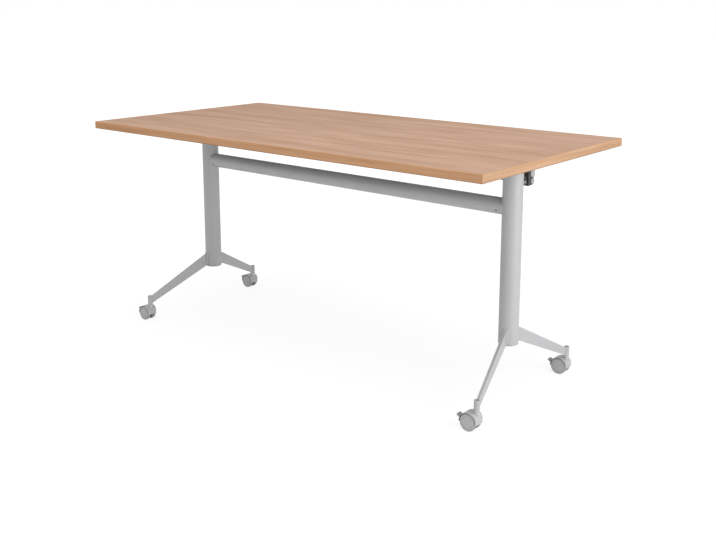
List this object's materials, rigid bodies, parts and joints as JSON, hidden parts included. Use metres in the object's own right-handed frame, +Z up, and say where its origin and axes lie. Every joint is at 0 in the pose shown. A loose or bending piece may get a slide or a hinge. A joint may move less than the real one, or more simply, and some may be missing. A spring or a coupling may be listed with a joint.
{
  "type": "flip top training table",
  "caption": "Rectangular flip top training table with a wood-effect board that tips upright, round silver columns, a cross beam, blade feet and twin-wheel castors.",
  "frame": {"origin": "on the floor under the centre of the table top", "axes": "+X along the table's length, +Y from the front long edge to the back, +Z up"},
  "size_m": [1.6, 0.8, 0.75],
  "materials": {
    "board": "satin beech-effect laminate, grain along the length",
    "edging": "beech-effect edge strip, satin",
    "silver_paint": "fine-textured silver-grey powder coat",
    "grey_plastic": "moulded mid-grey plastic",
    "dark_plastic": "moulded dark grey plastic",
    "black_plastic": "moulded black plastic",
    "rubber": "matt black rubber",
    "steel": "zinc-plated steel",
    "alloy": "die-cast alloy"
  },
  "bodies": {
    "frame": {"column_left": "silver_paint", "column_cap_left": "grey_plastic", "column_head_left": "alloy", "pivot_pin_left": "steel", "stop_buffer_left": "rubber", "latch_keeper_left": "silver_paint", "beam_saddle_left": "silver_paint", "column_right": "silver_paint", "column_cap_right": "grey_plastic", "column_head_right": "alloy", "pivot_pin_right": "steel", "stop_buffer_right": "rubber", "latch_keeper_right": "silver_paint", "beam_saddle_right": "silver_paint", "cross_beam": "silver_paint", "foot_front_left": "silver_paint", "castor_socket_front_left": "silver_paint", "castor_stem_front_left": "steel", "foot_front_right": "silver_paint", "castor_socket_front_right": "silver_paint", "castor_stem_front_right": "steel", "foot_rear_left": "silver_paint", "castor_socket_rear_left": "silver_paint", "castor_stem_rear_left": "steel", "foot_rear_right": "silver_paint", "castor_socket_rear_right": "silver_paint", "castor_stem_rear_right": "steel"},
    "top": {"support_arm_left": "silver_paint", "support_arm_right": "silver_paint", "top_board": "board", "edge_strip_front": "edging", "edge_strip_back": "edging", "edge_strip_left": "edging", "edge_strip_right": "edging"},
    "release": {"release_lever_left": "black_plastic", "latch_hook_left": "steel", "release_lever_right": "black_plastic", "latch_hook_right": "steel", "release_rod": "steel", "return_spring": "steel"},
    "castor_front_left": {"castor_hood_front_left": "grey_plastic", "castor_axle_front_left": "steel"},
    "wheel_fore_front_left": {"wheel_fore_front_left": "grey_plastic"},
    "wheel_aft_front_left": {"wheel_aft_front_left": "grey_plastic"},
    "brake_front_left": {"brake_lever_front_left": "dark_plastic"},
    "castor_front_right": {"castor_hood_front_right": "grey_plastic", "castor_axle_front_right": "steel"},
    "wheel_fore_front_right": {"wheel_fore_front_right": "grey_plastic"},
    "wheel_aft_front_right": {"wheel_aft_front_right": "grey_plastic"},
    "brake_front_right": {"brake_lever_front_right": "dark_plastic"},
    "castor_rear_left": {"castor_hood_rear_left": "grey_plastic", "castor_axle_rear_left": "steel"},
    "wheel_fore_rear_left": {"wheel_fore_rear_left": "grey_plastic"},
    "wheel_aft_rear_left": {"wheel_aft_rear_left": "grey_plastic"},
    "brake_rear_left": {"brake_lever_rear_left": "dark_plastic"},
    "castor_rear_right": {"castor_hood_rear_right": "grey_plastic", "castor_axle_rear_right": "steel"},
    "wheel_fore_rear_right": {"wheel_fore_rear_right": "grey_plastic"},
    "wheel_aft_rear_right": {"wheel_aft_rear_right": "grey_plastic"},
    "brake_rear_right": {"brake_lever_rear_right": "dark_plastic"}
  },
  "joints": [
    {"name": "top_flip", "type": "hinge", "parent": "frame", "child": "top", "pos_m": [0, 0, 0.68], "axis": [1, 0, 0], "range_deg": [0, 90]},
    {"name": "release_pull", "type": "hinge", "parent": "top", "child": "release", "pos_m": [0, 0.085, 0.646], "axis": [1, 0, 0], "range_deg": [0, 25], "stiffness_Nm_per_rad": 0.6, "springref_deg": -20.05},
    {"name": "castor_swivel_front_left", "type": "hinge", "parent": "frame", "child": "castor_front_left", "pos_m": [-0.7135, -0.2615, 0.05], "axis": [0, 0, 1], "continuous": true},
    {"name": "wheel_spin_fore_front_left", "type": "hinge", "parent": "castor_front_left", "child": "wheel_fore_front_left", "pos_m": [-0.7325, -0.2615, 0.025], "axis": [0, 1, 0], "continuous": true},
    {"name": "wheel_spin_aft_front_left", "type": "hinge", "parent": "castor_front_left", "child": "wheel_aft_front_left", "pos_m": [-0.7325, -0.2615, 0.025], "axis": [0, 1, 0], "continuous": true},
    {"name": "brake_press_front_left", "type": "hinge", "parent": "castor_front_left", "child": "brake_front_left", "pos_m": [-0.75, -0.2615, 0.031], "axis": [0, -1, 0], "range_deg": [0, 18]},
    {"name": "castor_swivel_front_right", "type": "hinge", "parent": "frame", "child": "castor_front_right", "pos_m": [0.7135, -0.2615, 0.05], "axis": [0, 0, 1], "continuous": true},
    {"name": "wheel_spin_fore_front_right", "type": "hinge", "parent": "castor_front_right", "child": "wheel_fore_front_right", "pos_m": [0.6945, -0.2615, 0.025], "axis": [0, 1, 0], "continuous": true},
    {"name": "wheel_spin_aft_front_right", "type": "hinge", "parent": "castor_front_right", "child": "wheel_aft_front_right", "pos_m": [0.6945, -0.2615, 0.025], "axis": [0, 1, 0], "continuous": true},
    {"name": "brake_press_front_right", "type": "hinge", "parent": "castor_front_right", "child": "brake_front_right", "pos_m": [0.677, -0.2615, 0.031], "axis": [0, -1, 0], "range_deg": [0, 18]},
    {"name": "castor_swivel_rear_left", "type": "hinge", "parent": "frame", "child": "castor_rear_left", "pos_m": [-0.7135, 0.2615, 0.05], "axis": [0, 0, 1], "continuous": true},
    {"name": "wheel_spin_fore_rear_left", "type": "hinge", "parent": "castor_rear_left", "child": "wheel_fore_rear_left", "pos_m": [-0.7325, 0.2615, 0.025], "axis": [0, 1, 0], "continuous": true},
    {"name": "wheel_spin_aft_rear_left", "type": "hinge", "parent": "castor_rear_left", "child": "wheel_aft_rear_left", "pos_m": [-0.7325, 0.2615, 0.025], "axis": [0, 1, 0], "continuous": true},
    {"name": "brake_press_rear_left", "type": "hinge", "parent": "castor_rear_left", "child": "brake_rear_left", "pos_m": [-0.75, 0.2615, 0.031], "axis": [0, -1, 0], "range_deg": [0, 18]},
    {"name": "castor_swivel_rear_right", "type": "hinge", "parent": "frame", "child": "castor_rear_right", "pos_m": [0.7135, 0.2615, 0.05], "axis": [0, 0, 1], "continuous": true},
    {"name": "wheel_spin_fore_rear_right", "type": "hinge", "parent": "castor_rear_right", "child": "wheel_fore_rear_right", "pos_m": [0.6945, 0.2615, 0.025], "axis": [0, 1, 0], "continuous": true},
    {"name": "wheel_spin_aft_rear_right", "type": "hinge", "parent": "castor_rear_right", "child": "wheel_aft_rear_right", "pos_m": [0.6945, 0.2615, 0.025], "axis": [0, 1, 0], "continuous": true},
    {"name": "brake_press_rear_right", "type": "hinge", "parent": "castor_rear_right", "child": "brake_rear_right", "pos_m": [0.677, 0.2615, 0.031], "axis": [0, -1, 0], "range_deg": [0, 18]}
  ]
}
